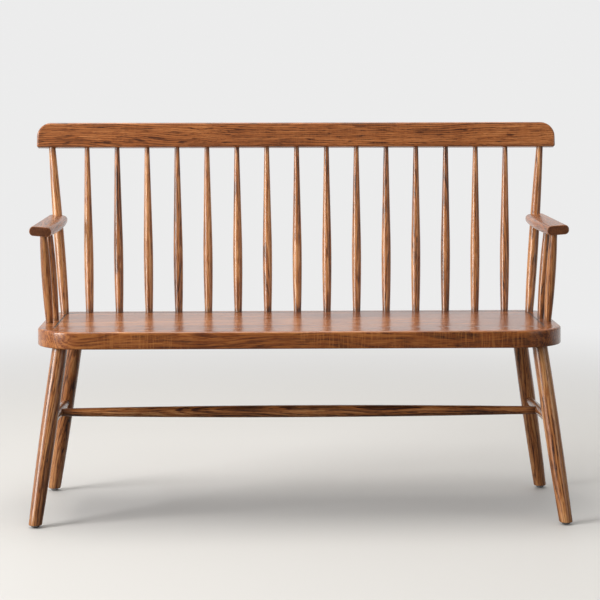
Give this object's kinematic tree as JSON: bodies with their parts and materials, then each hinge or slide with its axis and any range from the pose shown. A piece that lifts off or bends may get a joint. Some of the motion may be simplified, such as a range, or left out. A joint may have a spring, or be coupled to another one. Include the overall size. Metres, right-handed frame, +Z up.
{
  "type": "deacons bench",
  "caption": "Spindle-back settee in brown lacquered oak with a crest rail, open arms on turned posts, a grooved plank seat and splayed turned legs joined by stretchers.",
  "frame": {"origin": "on the floor under the middle of the bench's bounding box", "axes": "+X along the bench to the right seen from the front, +Y from the front to the back, +Z up"},
  "size_m": [1.31, 0.5516, 0.9141],
  "materials": {
    "crest_oak": "satin lacquered oak, medium brown stain",
    "seat_oak": "satin lacquered oak, medium brown stain, glued up from boards",
    "arm_oak": "satin lacquered oak, medium brown stain",
    "turned_oak": "turned oak, satin lacquer, grain along the turning",
    "glide_steel": "bright nickel-plated steel, lightly scuffed"
  },
  "bodies": {
    "root": {"crest_rail": "crest_oak", "back_spindle_01": "turned_oak", "back_spindle_02": "turned_oak", "back_spindle_03": "turned_oak", "back_spindle_04": "turned_oak", "back_spindle_05": "turned_oak", "back_spindle_06": "turned_oak", "back_spindle_07": "turned_oak", "back_spindle_08": "turned_oak", "back_spindle_09": "turned_oak", "back_spindle_10": "turned_oak", "back_spindle_11": "turned_oak", "back_spindle_12": "turned_oak", "back_spindle_13": "turned_oak", "back_spindle_14": "turned_oak", "back_spindle_15": "turned_oak", "end_post_left": "turned_oak", "arm_left": "arm_oak", "arm_post_front_left": "turned_oak", "arm_spindle_left": "turned_oak", "side_stretcher_left": "turned_oak", "leg_front_left": "turned_oak", "foot_glide_front_left": "glide_steel", "leg_back_left": "turned_oak", "foot_glide_back_left": "glide_steel", "end_post_right": "turned_oak", "arm_right": "arm_oak", "arm_post_front_right": "turned_oak", "arm_spindle_right": "turned_oak", "side_stretcher_right": "turned_oak", "leg_front_right": "turned_oak", "foot_glide_front_right": "glide_steel", "leg_back_right": "turned_oak", "foot_glide_back_right": "glide_steel", "centre_stretcher": "turned_oak", "seat_board_front": "seat_oak", "seat_board_middle_front": "seat_oak", "seat_board_middle_back": "seat_oak", "seat_board_back": "seat_oak"}
  },
  "joints": []
}
